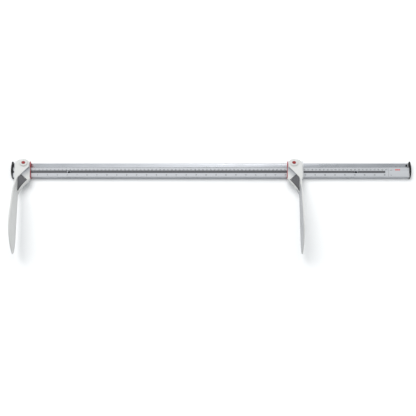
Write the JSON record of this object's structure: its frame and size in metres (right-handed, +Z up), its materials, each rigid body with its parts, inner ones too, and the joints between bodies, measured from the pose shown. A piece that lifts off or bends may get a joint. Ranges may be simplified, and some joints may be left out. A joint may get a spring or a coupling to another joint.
{
  "type": "infant length measuring rod",
  "caption": "Flat aluminium measuring rod with a printed scale, a fixed jaw and a sliding jaw, each with a tall leaf-shaped paddle that folds in over the rod.",
  "frame": {"origin": "middle of the rod's flat back face, which it rests on", "axes": "+X along the rod from the fixed jaw to the far end, -Y the way the open jaws reach, +Z up out of the scale face"},
  "size_m": [1.026, 0.2544, 0.117],
  "materials": {
    "aluminium": "satin anodised",
    "grey_inlay": "matt",
    "black_plastic": "satin",
    "black_screw": "blackened",
    "white_plastic": "fine moulded texture",
    "red_plastic": "glossy",
    "liner": "matt",
    "steel": "zinc plated"
  },
  "bodies": {
    "rod_body": {"rod": "aluminium", "scale_strip": "grey_inlay", "end_cap_left": "black_plastic", "end_cap_right": "black_plastic", "cap_screws": "steel", "stop_screw": "black_screw", "carriage_left": "white_plastic", "index_left": "red_plastic", "liners_left": "liner", "clamp_screws": "steel", "pivot_pin_left": "steel", "pivot_washer_left": "liner", "pivot_nut_left": "steel", "detent_ball_left": "steel", "detent_spring_left": "steel"},
    "slide_body": {"carriage_right": "white_plastic", "index_right": "red_plastic", "liners_right": "liner", "brake_spring": "steel", "pivot_pin_right": "steel", "pivot_washer_right": "liner", "pivot_nut_right": "steel", "detent_ball_right": "steel", "detent_spring_right": "steel"},
    "jaw_left_body": {"jaw_left": "white_plastic", "head_cap_left": "white_plastic", "button_spring_left": "steel"},
    "jaw_right_body": {"jaw_right": "white_plastic", "head_cap_right": "white_plastic", "button_spring_right": "steel"},
    "button_left_body": {"button_left": "red_plastic"},
    "button_right_body": {"button_right": "red_plastic"}
  },
  "joints": [
    {"name": "carriage_slide", "type": "slide", "parent": "rod_body", "child": "slide_body", "axis": [1, 0, 0], "range_m": [-0.654, 0.263]},
    {"name": "jaw_left_fold", "type": "hinge", "parent": "rod_body", "child": "jaw_left_body", "pos_m": [-0.4794, 0.0144, 0.02], "axis": [0, 0, 1], "range_deg": [0, 90]},
    {"name": "jaw_right_fold", "type": "hinge", "parent": "slide_body", "child": "jaw_right_body", "pos_m": [0.2116, 0.0144, 0.02], "axis": [0, 0, -1], "range_deg": [0, 90]},
    {"name": "button_left_press", "type": "slide", "parent": "jaw_left_body", "child": "button_left_body", "axis": [0, 0, -1], "range_m": [0, 0.0012], "stiffness_N_per_m": 800, "springref_m": -0.002, "deforming": ["button_spring_left"]},
    {"name": "button_right_press", "type": "slide", "parent": "jaw_right_body", "child": "button_right_body", "axis": [0, 0, -1], "range_m": [0, 0.0012], "stiffness_N_per_m": 800, "springref_m": -0.002, "deforming": ["button_spring_right"]}
  ]
}
